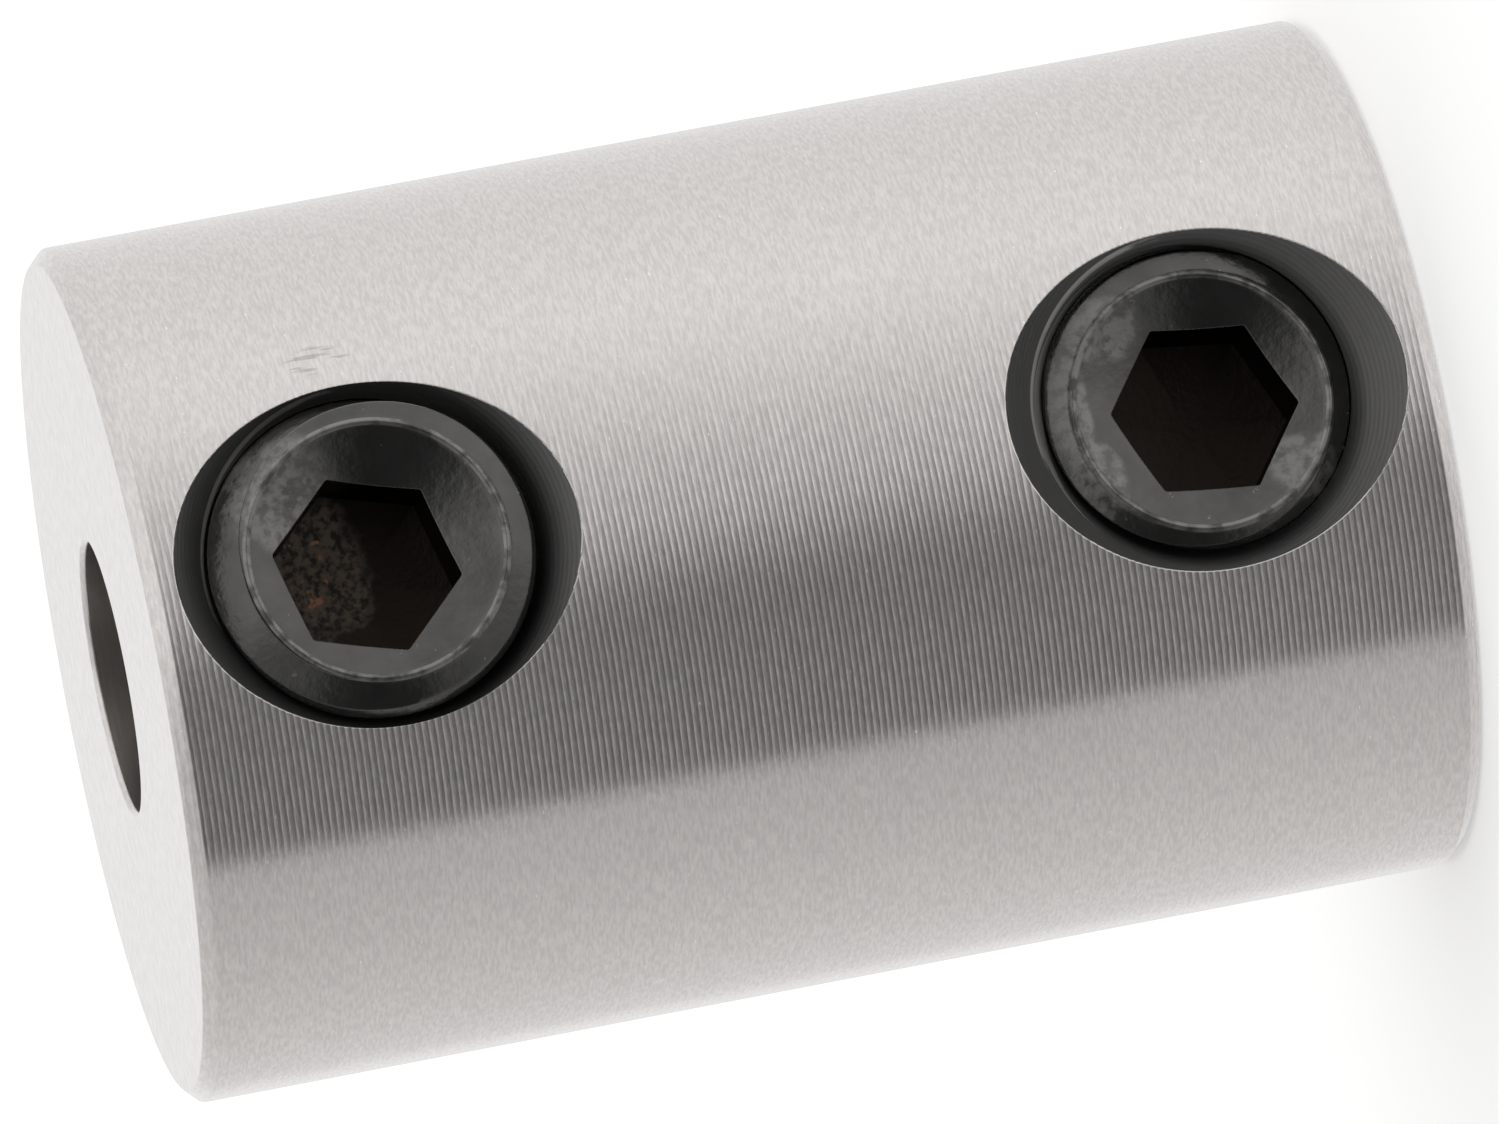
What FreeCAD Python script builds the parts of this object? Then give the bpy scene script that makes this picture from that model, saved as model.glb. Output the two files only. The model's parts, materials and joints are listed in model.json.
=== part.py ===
"""Rigid shaft coupling: a turned steel sleeve with one set screw near each end.

The sleeve stands on its end. The origin is the centre of its lower end face, +Z runs up the
shaft bore, and both set screws face -Y. Lengths are millimetres and angles are degrees.
"""
import FreeCAD, Part
import os
import Sketcher

SIZES = (
    # The sleeve, turned from round bar.
    ("body_diameter", 12.7, "outside of the sleeve, 1/2 inch"),
    ("body_length", 19.05, "end to end, 3/4 inch"),
    ("end_chamfer", 0.2, "45 degree chamfer round each end face"),
    ("bore_diameter", 4.0, "through bore for the two shafts"),
    ("bore_chamfer", 0.15, "45 degree chamfer at each mouth of the bore"),
    # The tapped holes, one near each end, drilled into the bore from the front.
    ("hole_inset", 3.4, "from an end face to the centre of its tapped hole"),
    ("thread_diameter", 4.826, "major diameter of the screw thread, number 10"),
    ("thread_pitch", 0.79375, "32 threads to the inch"),
    ("thread_clearance", 0.04, "gap between the screw and its hole, on the radius"),
    ("thread_run_out", 0.2, "full hole left beyond the tip of a screw that is fully in"),
    ("drill_point_angle", 118.0, "included angle at the end of each drilled hole"),
    ("countersink_diameter", 5.88, "mouth of the countersink, along the top of the sleeve"),
    ("countersink_angle", 82.0, "included angle of the countersink"),
    # The set screws, with a hexagon socket and a cup point.
    ("screw_length", 3.175, "overall, 1/8 inch"),
    ("crown_width", 0.39, "from the raised ring of the face out to the start of the thread"),
    ("crown_slope", 25.0, "fall of the crown, from the ring outwards"),
    ("dish_slope", 20.0, "fall of the dish, from the ring in to the socket"),
    ("thread_start_width", 0.143, "what the first thread lacks of its full radius"),
    ("thread_start_slope", 65.0, "fall of the first thread, out to its full size"),
    ("cup_diameter", 2.41, "ring that bites into the shaft"),
    ("cup_slope", 31.0, "slope of the cup, and of the point outside it"),
    ("hex_width", 2.38125, "across the flats of the socket, 3/32 inch"),
    ("socket_depth", 1.45, "from the screw's face to the end of the flats"),
    ("socket_cone_depth", 0.3, "of the shallow cone below the flats"),
    ("upper_socket_turn", 15.0, "how the upper screw happens to be turned"),
    ("lower_socket_turn", 24.0, "how the lower screw happens to be turned"),
    # Where the screws sit, and how far they turn in or out from there.
    ("lower_tip_clearance", 0.62, "from the wall of the bore to the lower screw's tip"),
    ("upper_tip_clearance", 1.08, "from the wall of the bore to the upper screw's tip"),
    ("travel_turns", 2.0, "turns that a screw makes either way from rest"),
)

HEXAGON_SIDES = 6
FULL_TURN = 360
RIGHT_ANGLE = 90
X_AXIS = FreeCAD.Vector(1, 0, 0)
Z_AXIS = FreeCAD.Vector(0, 0, 1)

SAME_SIZE = 1e-6

# Sketcher's numbers for a sketch's own axes, and for the points of a line or a circle.
HORIZONTAL_AXIS = -1
VERTICAL_AXIS = HORIZONTAL_AXIS - 1
START, END, CENTRE = range(1, 4)
ORIGIN = (HORIZONTAL_AXIS, START)

doc = FreeCAD.newDocument("ShaftCoupling")


def make_sheet():
    """Writes each driving size into the spreadsheet, with its alias and its meaning."""
    sheet = doc.addObject("Spreadsheet::Sheet", "Sizes")
    for row, (alias, value, meaning) in enumerate(SIZES, start=1):
        sheet.set(f"A{row}", alias)
        sheet.set(f"B{row}", str(value))
        sheet.set(f"C{row}", meaning)
        sheet.setAlias(f"B{row}", alias)
    doc.recompute()


def make_body(label):
    """Starts one piece of the coupling."""
    body = doc.addObject("PartDesign::Body", label)
    body.Label = label
    return body


def make_sketch(body, name, role):
    """Starts a sketch on one of the body's own origin planes."""
    plane = next(plane for plane in body.Origin.OriginFeatures if plane.Role == role)
    sketch = body.newObject("Sketcher::SketchObject", name)
    sketch.AttachmentSupport = [(plane, "")]
    sketch.MapMode = "FlatFace"
    return sketch


def drive(sketch, constraint, name, expression):
    """Adds a dimension to a sketch and ties it to the sizes."""
    index = sketch.addConstraint(constraint)
    sketch.renameConstraint(index, name)
    sketch.setExpression(f"Constraints.{name}", expression)


def draw_circle(sketch, name, diameter, height="0"):
    """Draws a circle on the sketch's vertical axis, at a height above its origin."""
    centre = FreeCAD.Vector(0, float(sketch.evalExpression(height)), 0)
    radius = float(sketch.evalExpression(diameter)) / 2
    circle = sketch.addGeometry(Part.Circle(centre, Z_AXIS, radius))
    if height == "0":
        sketch.addConstraint(Sketcher.Constraint("Coincident", circle, CENTRE, *ORIGIN))
    else:
        on_axis = Sketcher.Constraint("PointOnObject", circle, CENTRE, VERTICAL_AXIS)
        sketch.addConstraint(on_axis)
        rise = Sketcher.Constraint("DistanceY", *ORIGIN, circle, CENTRE, centre.y)
        drive(sketch, rise, f"{name}_height", height)
    drive(sketch, Sketcher.Constraint("Diameter", circle, 2 * radius), name, diameter)


def draw_profile(sketch, corners):
    """Draws a closed outline through corners given as pairs of expressions."""
    places = [
        FreeCAD.Vector(float(sketch.evalExpression(x)), float(sketch.evalExpression(y)), 0)
        for x, y in corners
    ]
    following = places[1:] + places[:1]
    lines = [
        sketch.addGeometry(Part.LineSegment(here, there))
        for here, there in zip(places, following)
    ]
    for line, next_line in zip(lines, lines[1:] + lines[:1]):
        sketch.addConstraint(Sketcher.Constraint("Coincident", line, END, next_line, START))
    for number, (line, place, (x, y)) in enumerate(zip(lines, places, corners), start=1):
        if x == "0":
            sketch.addConstraint(
                Sketcher.Constraint("PointOnObject", line, START, VERTICAL_AXIS)
            )
        else:
            across = Sketcher.Constraint("DistanceX", *ORIGIN, line, START, place.x)
            drive(sketch, across, f"corner_{number}_across", x)
        if y == "0":
            sketch.addConstraint(
                Sketcher.Constraint("PointOnObject", line, START, HORIZONTAL_AXIS)
            )
        else:
            up = Sketcher.Constraint("DistanceY", *ORIGIN, line, START, place.y)
            drive(sketch, up, f"corner_{number}_up", y)


def draw_hexagon(sketch, width):
    """Draws a regular hexagon round the origin, with a corner on the horizontal axis."""
    across_corners = f"({width}) / cos(30 deg)"
    radius = float(sketch.evalExpression(across_corners)) / 2
    corners = [
        FreeCAD.Rotation(Z_AXIS, FULL_TURN / HEXAGON_SIDES * side).multVec(X_AXIS * radius)
        for side in range(HEXAGON_SIDES)
    ]
    sides = [
        sketch.addGeometry(Part.LineSegment(here, there))
        for here, there in zip(corners, corners[1:] + corners[:1])
    ]
    rim = sketch.addGeometry(Part.Circle(FreeCAD.Vector(), Z_AXIS, radius), True)
    sketch.addConstraint(Sketcher.Constraint("Coincident", rim, CENTRE, *ORIGIN))
    for side, next_side in zip(sides, sides[1:] + sides[:1]):
        sketch.addConstraint(Sketcher.Constraint("Coincident", side, END, next_side, START))
        sketch.addConstraint(Sketcher.Constraint("PointOnObject", side, START, rim))
    for side in sides[1:]:
        sketch.addConstraint(Sketcher.Constraint("Equal", sides[0], side))
    sketch.addConstraint(
        Sketcher.Constraint("PointOnObject", sides[0], START, HORIZONTAL_AXIS)
    )
    drive(sketch, Sketcher.Constraint("Diameter", rim, 2 * radius), "corners", across_corners)


def turn_profile(body, kind, name, corners):
    """Turns an outline in the XZ plane all the way round the body's Z axis."""
    sketch = make_sketch(body, f"{name}Profile", "XZ_Plane")
    draw_profile(sketch, corners)
    feature = body.newObject(kind, name)
    feature.Profile = sketch
    feature.ReferenceAxis = (sketch, ["V_Axis"])
    feature.Angle = FULL_TURN
    return feature


def round_edges(shape, diameter):
    """Names a shape's full-circle edges of one diameter."""
    return [
        f"Edge{number}"
        for number, edge in enumerate(shape.Edges, start=1)
        if isinstance(edge.Curve, Part.Circle)
        and edge.isClosed()
        and abs(2 * edge.Curve.Radius - diameter) < SAME_SIZE
    ]


def chamfer_round_edges(body, name, base, diameter, size):
    """Chamfers the two circular edges of one diameter, at the ends of a feature."""
    doc.recompute()
    edges = round_edges(base.Shape, float(base.evalExpression(diameter)))
    chamfer = body.newObject("PartDesign::Chamfer", name)
    chamfer.Base = (base, edges)
    chamfer.setExpression("Size", size)
    return chamfer


def require_cut(feature, before):
    """Stops if a feature that should remove material has removed none."""
    doc.recompute()
    if feature.Shape.Volume >= before.Shape.Volume:
        raise RuntimeError(f"{feature.Name} removes nothing")


def build_sleeve():
    """The sleeve: round bar, faced and chamfered, bored, then drilled, tapped and countersunk."""
    body = make_body("sleeve")

    section = make_sketch(body, "BarSection", "XY_Plane")
    draw_circle(section, "outside", "Sizes.body_diameter")
    bar = body.newObject("PartDesign::Pad", "Bar")
    bar.Profile = section
    bar.setExpression("Length", "Sizes.body_length")

    section = make_sketch(body, "BoreSection", "XY_Plane")
    draw_circle(section, "bore", "Sizes.bore_diameter")
    bore = body.newObject("PartDesign::Pocket", "ShaftBore")
    bore.Profile = section
    bore.Reversed = True
    bore.Type = "ThroughAll"
    require_cut(bore, bar)

    ends = chamfer_round_edges(
        body, "EndChamfers", bore, "Sizes.body_diameter", "Sizes.end_chamfer"
    )
    require_cut(ends, bore)
    mouths = chamfer_round_edges(
        body, "BoreChamfers", ends, "Sizes.bore_diameter", "Sizes.bore_chamfer"
    )
    require_cut(mouths, ends)

    centres = make_sketch(body, "HoleCentres", "XZ_Plane")
    centres.setExpression("AttachmentOffset.Base.z", "Sizes.body_diameter / 2")
    hole_diameter = "Sizes.thread_diameter + 2 * Sizes.thread_clearance"
    draw_circle(centres, "lower", hole_diameter, "Sizes.hole_inset")
    draw_circle(centres, "upper", hole_diameter, "Sizes.body_length - Sizes.hole_inset")
    doc.recompute()
    holes = body.newObject("PartDesign::Hole", "TappedHoles")
    holes.Profile = centres
    holes.ThreadType = "None"
    holes.DepthType = "Dimension"
    holes.DrillPoint = "Angled"
    holes.HoleCutType = "Countersink"
    holes.setExpression("Diameter", hole_diameter)
    holes.setExpression("Depth", "Sizes.body_diameter / 2 - Sizes.bore_diameter / 2"
                        " - min(Sizes.lower_tip_clearance; Sizes.upper_tip_clearance)"
                        " + Sizes.travel_turns * Sizes.thread_pitch + Sizes.thread_run_out")
    holes.setExpression("DrillPointAngle", "Sizes.drill_point_angle")
    holes.setExpression("HoleCutDiameter", "Sizes.countersink_diameter")
    holes.setExpression("HoleCutCountersinkAngle", "Sizes.countersink_angle")
    require_cut(holes, mouths)
    return body


def build_set_screw(label, socket_turn, tip_clearance, height):
    """A set screw along its own Z axis, tip at the origin, then laid into its tapped hole."""
    body = make_body(label)
    thread_radius = "Sizes.thread_diameter / 2"
    cup_radius = "Sizes.cup_diameter / 2"
    cup_slope = "tan(Sizes.cup_slope * 1 deg)"
    start_radius = f"{thread_radius} - Sizes.thread_start_width"
    ring_radius = f"{start_radius} - Sizes.crown_width"
    crown_end = "Sizes.screw_length - Sizes.crown_width * tan(Sizes.crown_slope * 1 deg)"
    start_end = (
        f"{crown_end} - Sizes.thread_start_width * tan(Sizes.thread_start_slope * 1 deg)"
    )

    blank = turn_profile(body, "PartDesign::Revolution", f"{label}_Blank", (
        ("0", f"{cup_radius} * {cup_slope}"),
        (cup_radius, "0"),
        (thread_radius, f"({thread_radius} - {cup_radius}) * {cup_slope}"),
        (thread_radius, start_end),
        (start_radius, crown_end),
        (ring_radius, "Sizes.screw_length"),
        ("0", "Sizes.screw_length"),
    ))

    hexagon = make_sketch(body, f"{label}_Hexagon", "XY_Plane")
    hexagon.AttachmentOffset = FreeCAD.Placement(
        FreeCAD.Vector(), FreeCAD.Rotation(Z_AXIS, 1)
    )
    hexagon.setExpression("AttachmentOffset.Base.z", "Sizes.screw_length")
    hexagon.setExpression("AttachmentOffset.Rotation.Angle", socket_turn)
    draw_hexagon(hexagon, "Sizes.hex_width")
    socket = body.newObject("PartDesign::Pocket", f"{label}_Socket")
    socket.Profile = hexagon
    socket.setExpression("Length", "Sizes.socket_depth")
    require_cut(socket, blank)

    flats_end = "Sizes.screw_length - Sizes.socket_depth"
    floor = turn_profile(body, "PartDesign::Groove", f"{label}_SocketFloor", (
        ("0", flats_end),
        ("0", f"{flats_end} - Sizes.socket_cone_depth"),
        ("Sizes.hex_width / 2", flats_end),
    ))
    require_cut(floor, socket)

    dish_end = (
        f"Sizes.screw_length - ({ring_radius} - Sizes.hex_width / 2) * tan(Sizes.dish_slope * 1 deg)"
    )
    dish = turn_profile(body, "PartDesign::Groove", f"{label}_Dish", (
        ("0", "Sizes.screw_length"),
        ("0", dish_end),
        ("Sizes.hex_width / 2", dish_end),
        (ring_radius, "Sizes.screw_length"),
    ))
    require_cut(dish, floor)

    body.Placement = FreeCAD.Placement(
        FreeCAD.Vector(), FreeCAD.Rotation(X_AXIS, RIGHT_ANGLE)
    )
    body.setExpression("Placement.Base.y", f"-(Sizes.bore_diameter / 2 + {tip_clearance})")
    body.setExpression("Placement.Base.z", height)
    return body


def check_document(bodies):
    """Stops if a feature has failed, or if a piece isn't one valid solid."""
    doc.recompute()
    failed = [
        item.Name for item in doc.Objects
        if "Invalid" in item.State or "Error" in item.State
    ]
    if failed:
        raise RuntimeError(f"failed features: {failed}")
    for body in bodies:
        if body.Shape.isNull() or not body.Shape.isValid() or len(body.Shape.Solids) != 1:
            raise RuntimeError(f"{body.Label} isn't one valid solid")


make_sheet()
pieces = (
    build_sleeve(),
    build_set_screw(
        "set_screw_lower", "Sizes.lower_socket_turn", "Sizes.lower_tip_clearance",
        "Sizes.hole_inset",
    ),
    build_set_screw(
        "set_screw_upper", "Sizes.upper_socket_turn", "Sizes.upper_tip_clearance",
        "Sizes.body_length - Sizes.hole_inset",
    ),
)
check_document(pieces)
os.makedirs("parts", exist_ok=True)
for piece in pieces:
    piece.Shape.exportStep(f"parts/{piece.Label}.step")
    print(piece.Label, round(piece.Shape.Volume, 3), piece.Shape.BoundBox)
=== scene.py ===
"""Looks of a rigid shaft coupling: a turned stainless sleeve that holds two black set screws.

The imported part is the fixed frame. The sleeve and the screws are modelled again at the same size
and place, with the threads, edge breaks and tool marks that the solids leave out.
"""
import json
import math

import bmesh
import bpy
from bpy.props import FloatProperty, FloatVectorProperty, PointerProperty
from mathutils import Matrix, Vector


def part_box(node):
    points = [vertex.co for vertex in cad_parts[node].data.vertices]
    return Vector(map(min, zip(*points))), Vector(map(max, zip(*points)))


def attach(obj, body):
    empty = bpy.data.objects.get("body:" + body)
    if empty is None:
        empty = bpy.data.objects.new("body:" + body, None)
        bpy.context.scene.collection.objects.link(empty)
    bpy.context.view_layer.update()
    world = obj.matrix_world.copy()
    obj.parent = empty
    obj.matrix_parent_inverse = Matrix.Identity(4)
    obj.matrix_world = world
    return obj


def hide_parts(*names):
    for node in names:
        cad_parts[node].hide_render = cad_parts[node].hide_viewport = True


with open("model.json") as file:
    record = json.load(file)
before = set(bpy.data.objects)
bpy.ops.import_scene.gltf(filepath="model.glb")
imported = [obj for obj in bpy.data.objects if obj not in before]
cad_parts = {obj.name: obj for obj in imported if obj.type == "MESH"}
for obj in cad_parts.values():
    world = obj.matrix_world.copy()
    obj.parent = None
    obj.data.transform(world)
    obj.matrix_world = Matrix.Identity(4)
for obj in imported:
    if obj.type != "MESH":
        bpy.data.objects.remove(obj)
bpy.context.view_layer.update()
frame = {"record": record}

bl_info = {
    "name": "Shaft Coupling",
    "version": (1, 0, 0),
    "blender": (4, 5, 0),
    "location": "View3D > Sidebar > Coupling",
    "description": "Models a turned sleeve coupling and its two set screws",
    "category": "Mesh",
}

MM = 0.001
MICRON = 1e-6
FULL_TURN = math.tau
THREAD_FLANK = math.radians(30)
WHITE = (1, 1, 1, 1)

# Points closer than this are one point, and a point this near a surface is on it.
SAME_POINT = 1e-7
ON_SURFACE = 5 * MICRON

# The Bevel node rounds the look of sharp edges by this, as a light deburring leaves them.
SOFT_EDGE = 0.03 * MM

SLEEVE_BODY = "sleeve_body"
SCREW_BODIES = {
    "set_screw_upper": "upper_screw_body",
    "set_screw_lower": "lower_screw_body",
}
SLEEVE_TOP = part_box("sleeve")[1]
SCREW_LOW, SCREW_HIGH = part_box("set_screw_upper")
SHAFT_BORE = next(
    mount for mount in frame["record"]["mounts"] if mount["name"] == "shaft_bore"
)

# A patch on a surface is the middle and the size of an ellipsoid.
SCRATCHES = ((3.0 * MM, -5.6 * MM, 15.9 * MM), (0.22 * MM, 1 * MM, 0.5 * MM))
DEPOSIT = ((0.05 * MM, -4.7 * MM, 16.3 * MM), (0.95 * MM, 1.2 * MM, 0.72 * MM))
WORN = (
    ((1.3 * MM, -5.7 * MM, 4.6 * MM), (0.5 * MM, 1 * MM, 0.6 * MM)),
    ((0.2 * MM, -5.7 * MM, 5.3 * MM), (1.0 * MM, 1 * MM, 0.3 * MM)),
    ((-0.9 * MM, -5.7 * MM, 5.1 * MM), (0.6 * MM, 1 * MM, 0.4 * MM)),
    ((-1.2 * MM, -5.7 * MM, 2.1 * MM), (0.5 * MM, 1 * MM, 0.5 * MM)),
    ((1.2 * MM, -6.2 * MM, 16.9 * MM), (0.9 * MM, 1 * MM, 0.8 * MM)),
)

# A thin light line just outside the thread is a painted highlight along the burr. It lies only on
# the part of each hole that this patch takes in, the side where light falls.
BURR_HIGHLIGHT_OFFSET = 0.02 * MM
BURR_HIGHLIGHT_WIDTHS = (0.04 * MM, 0.015 * MM)
BURR_HIGHLIGHT_PART = ((1.3 * MM, -5.8 * MM, 1.9 * MM), (1.9 * MM, 1.5 * MM, 1.9 * MM))


def linear(hex_colour):
    """Turns an sRGB hex colour into Blender's linear red, green and blue."""
    channels = [int(hex_colour[start:start + 2], 16) / 255 for start in (1, 3, 5)]
    return [
        value / 12.92 if value <= 0.04045 else ((value + 0.055) / 1.055) ** 2.4
        for value in channels
    ]


def length_property(name, description, default):
    return FloatProperty(
        name=name, description=description, default=default, unit="LENGTH", precision=6
    )


def shift_property(name, description, length, degrees):
    across, up = length * math.cos(math.radians(degrees)), length * math.sin(math.radians(degrees))
    return FloatVectorProperty(
        name=name, description=description, default=(across, up, 0), unit="LENGTH",
        subtype="TRANSLATION", precision=6,
    )


def angle_property(name, description, degrees):
    return FloatProperty(
        name=name, description=description, default=math.radians(degrees), unit="ROTATION"
    )


def colour_property(name, description, hex_colour):
    return FloatVectorProperty(
        name=name, description=description, default=linear(hex_colour), subtype="COLOR",
        size=3, min=0, max=1,
    )


class SleeveSizes(bpy.types.PropertyGroup):
    """Sizes of the turned sleeve."""

    radius: length_property("Radius", "Outside of the sleeve", SLEEVE_TOP.x)
    length: length_property("Length", "End to end", SLEEVE_TOP.z)
    end_chamfer: length_property("End chamfer", "Chamfer round each end face", 0.2 * MM)
    bore_radius: length_property(
        "Bore radius", "Wall of the shaft bore", SHAFT_BORE["dims"]["r_mm"] * MM
    )
    bore_chamfer: length_property("Bore chamfer", "Chamfer at each bore mouth", 0.06 * MM)
    edge_break: length_property("Edge break", "Rounding left on a turned edge", 0.02 * MM)
    mouth_break: length_property("Mouth break", "Rounding of a countersink's rim", 0.015 * MM)
    countersink_radius: length_property(
        "Countersink radius", "Mouth of each countersink, along the crest", 2.95 * MM
    )
    countersink_angle: angle_property("Countersink angle", "Included angle", 79)
    feed_pitch: length_property("Feed pitch", "Spacing of the turning marks", 0.1 * MM)
    feed_height: length_property("Feed height", "Depth of the turning marks", 4 * MICRON)
    ring_pitch: length_property("Ring pitch", "Spacing of the countersink's rings", 0.0698 * MM)


class ThreadSizes(bpy.types.PropertyGroup):
    """Sizes of the thread that the screws and their holes share."""

    pitch: length_property("Pitch", "Travel for one turn", 0.79375 * MM)
    start: length_property(
        "Start", "A ridge's height above the sleeve's axis, on the +X side", 0.7485 * MM
    )
    crest_radius: length_property("Crest radius", "Outside of the screw's thread", 2.4 * MM)
    root_radius: length_property("Root radius", "Bottom of the screw's thread", 1.93 * MM)
    pitch_radius: length_property(
        "Pitch radius", "Where ridge and groove are as wide", 2.155 * MM
    )
    tapped_crest: length_property("Tapped crest", "Inside of the hole's thread", 2.06 * MM)
    tapped_root: length_property("Tapped root", "Bottom of the hole's thread", 2.453 * MM)
    clearance: length_property("Clearance", "Gap between the two threads", 0.04 * MM)
    hole_end: length_property(
        "Hole end", "From the sleeve's axis to the end of the full hole", 0.8325 * MM
    )
    drill_angle: angle_property("Drill angle", "Included angle at the hole's end", 118)


class ScrewSizes(bpy.types.PropertyGroup):
    """Sizes of a set screw."""

    radius: length_property(
        "Radius", "Outside of the screw", (SCREW_HIGH.x - SCREW_LOW.x) / 2
    )
    length: length_property("Length", "Overall", SCREW_HIGH.y - SCREW_LOW.y)
    crown_width: length_property("Crown width", "Ring to the start of the thread", 0.39 * MM)
    crown_slope: angle_property("Crown slope", "Fall outside the ring", 25)
    crown_round: length_property("Crown round", "Rounding of the crown's shoulder", 0.05 * MM)
    dish_slope: angle_property("Dish slope", "Fall from the ring to the socket", 20)
    bead_width: length_property("Bead width", "Half the width of the ring", 0.08 * MM)
    bead_height: length_property("Bead height", "Of the ring above crown and dish", 0.03 * MM)
    start_width: length_property("Thread start", "What the first thread lacks", 0.143 * MM)
    start_slope: angle_property("Thread start slope", "Fall of the first thread", 65)
    cup_radius: length_property("Cup radius", "Ring that bites the shaft", 1.205 * MM)
    cup_slope: angle_property("Cup slope", "Slope of the cup and the point", 31)
    hex_width: length_property("Hexagon width", "Across the flats", 2.38125 * MM)
    socket_depth: length_property("Socket depth", "To the end of the flats", 1.45 * MM)
    socket_cone: length_property("Socket cone", "Depth of the floor's cone", 0.3 * MM)
    edge_break: length_property("Edge break", "Rounding on the screw's edges", 0.03 * MM)
    upper_turn: angle_property("Upper turn", "How the upper socket is turned", 13.8)
    lower_turn: angle_property("Lower turn", "How the lower socket is turned", 23)
    upper_shift: shift_property("Upper shift", "How far its socket is off centre", 0.23 * MM, 135)
    lower_shift: shift_property("Lower shift", "How far its socket is off centre", 0.1 * MM, 215)


class Finishes(bpy.types.PropertyGroup):
    """Colours of the surfaces."""

    stainless: colour_property("Stainless", "Turned stainless steel", "#d1cdcb")
    # Painted glints: sparse light specks in the turned steel's colour stand in for sparkling
    # highlights.
    glint: colour_property("Glint", "Bright grains in the turned steel", "#fff9f3")
    cut_stainless: colour_property("Cut stainless", "Drilled and tapped walls", "#7b7a79")
    bore_stainless: colour_property("Bore stainless", "Wall of the shaft bore", "#c2bdb8")
    black_oxide: colour_property("Black oxide", "Oxide on the set screws", "#575655")
    # Worn oxide on edges, chips and patches; on the raised ring the same colour is a painted
    # highlight.
    rubbed_oxide_and_highlight: colour_property("Rubbed oxide", "Oxide worn thin", "#858482")
    # Painted shade: the sockets' oxide is much darker than the outside's, for the shade inside the
    # recess.
    socket_oxide_painted_shade: colour_property("Socket oxide", "Oxide inside the sockets", "#211d1a")
    deposit: colour_property("Deposit", "Dried residue in a socket", "#5b4f45")
    rust: colour_property("Rust", "Rusty specks in the residue", "#8f6650")
    floor: colour_property("Floor", "Pale floor", "#f4f4f3")


def new_object(name, build):
    """Makes an object at the origin from a bmesh, in metres."""
    build.normal_update()
    mesh = bpy.data.meshes.new(name)
    build.to_mesh(mesh)
    build.free()
    item = bpy.data.objects.new(name, mesh)
    bpy.context.scene.collection.objects.link(item)
    return item


def lathe(build, outline, steps, closed=False):
    """Spins an outline of (radius, height) points round Z. An open one starts and ends on Z."""
    points = [build.verts.new((radius, 0, height)) for radius, height in outline]
    following = points[1:] + points[:1] if closed else points[1:]
    lines = [build.edges.new(pair) for pair in zip(points, following)]
    bmesh.ops.spin(
        build, geom=points + lines, cent=(0, 0, 0), axis=(0, 0, 1), angle=FULL_TURN,
        steps=steps, use_merge=True,
    )
    bmesh.ops.remove_doubles(build, verts=build.verts, dist=SAME_POINT)
    bmesh.ops.recalc_face_normals(build, faces=build.faces)


def rounded(outline, radius, corners, segments=3):
    """Rounds some corners of an outline of (radius, height) points, with bevelled vertices."""
    build = bmesh.new()
    points = [build.verts.new((across, 0, height)) for across, height in outline]
    for pair in zip(points, points[1:]):
        build.edges.new(pair)
    bmesh.ops.bevel(
        build, geom=[points[corner] for corner in corners], offset=radius,
        affect="VERTICES", segments=segments, profile=0.5, material=-1,
    )
    build.verts.ensure_lookup_table()
    ends = [point for point in build.verts if len(point.link_edges) == 1]
    start = Vector((outline[0][0], 0, outline[0][1]))
    first = min(ends, key=lambda point: (point.co - start).length)
    walked, line = [first], first.link_edges[0]
    while True:
        point = line.other_vert(walked[-1])
        walked.append(point)
        onward = [edge for edge in point.link_edges if edge is not line]
        if not onward:
            break
        line = onward[0]
    result = [(point.co.x, point.co.z) for point in walked]
    build.free()
    return result


def ridge_half_width(sizes, radius, pitch_radius):
    """Half the width of a thread's ridge at a radius, for 60 degree flanks."""
    return sizes.pitch / 4 - (radius - pitch_radius) * math.tan(THREAD_FLANK)


def threaded_rod(build, sizes, root, crest, pitch_radius, low, high, steps):
    """A rod with a right-hand thread, cut off square at its low end, in a hole's own frame."""
    at_root = ridge_half_width(sizes, root, pitch_radius)
    at_crest = ridge_half_width(sizes, crest, pitch_radius)
    first = math.floor((low - sizes.start) / sizes.pitch) - 1
    last = math.ceil((high - sizes.start) / sizes.pitch) + 1
    outline = []
    for number in range(first, last + 1):
        middle = sizes.start + number * sizes.pitch
        outline.append((root, middle - at_root))
        outline.append((crest, middle - at_crest))
        outline.append((crest, middle + at_crest))
        outline.append((root, middle + at_root))
    outline.append((root, sizes.start + (last + 1) * sizes.pitch - at_root))
    points = [build.verts.new((radius, 0, height)) for radius, height in outline]
    lines = [build.edges.new(pair) for pair in zip(points, points[1:])]
    bmesh.ops.spin(
        build, geom=points + lines, cent=(0, 0, 0), axis=(0, 0, 1), angle=FULL_TURN,
        dvec=(0, 0, sizes.pitch / steps), steps=steps, use_merge=False,
    )
    bmesh.ops.remove_doubles(build, verts=build.verts, dist=SAME_POINT)
    bmesh.ops.bisect_plane(
        build, geom=build.verts[:] + build.edges[:] + build.faces[:], plane_co=(0, 0, low),
        plane_no=(0, 0, 1), clear_inner=True,
    )
    caps = bmesh.ops.holes_fill(build, edges=build.edges[:], sides=0)
    bmesh.ops.poke(build, faces=caps["faces"])
    bmesh.ops.recalc_face_normals(build, faces=build.faces)


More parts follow.
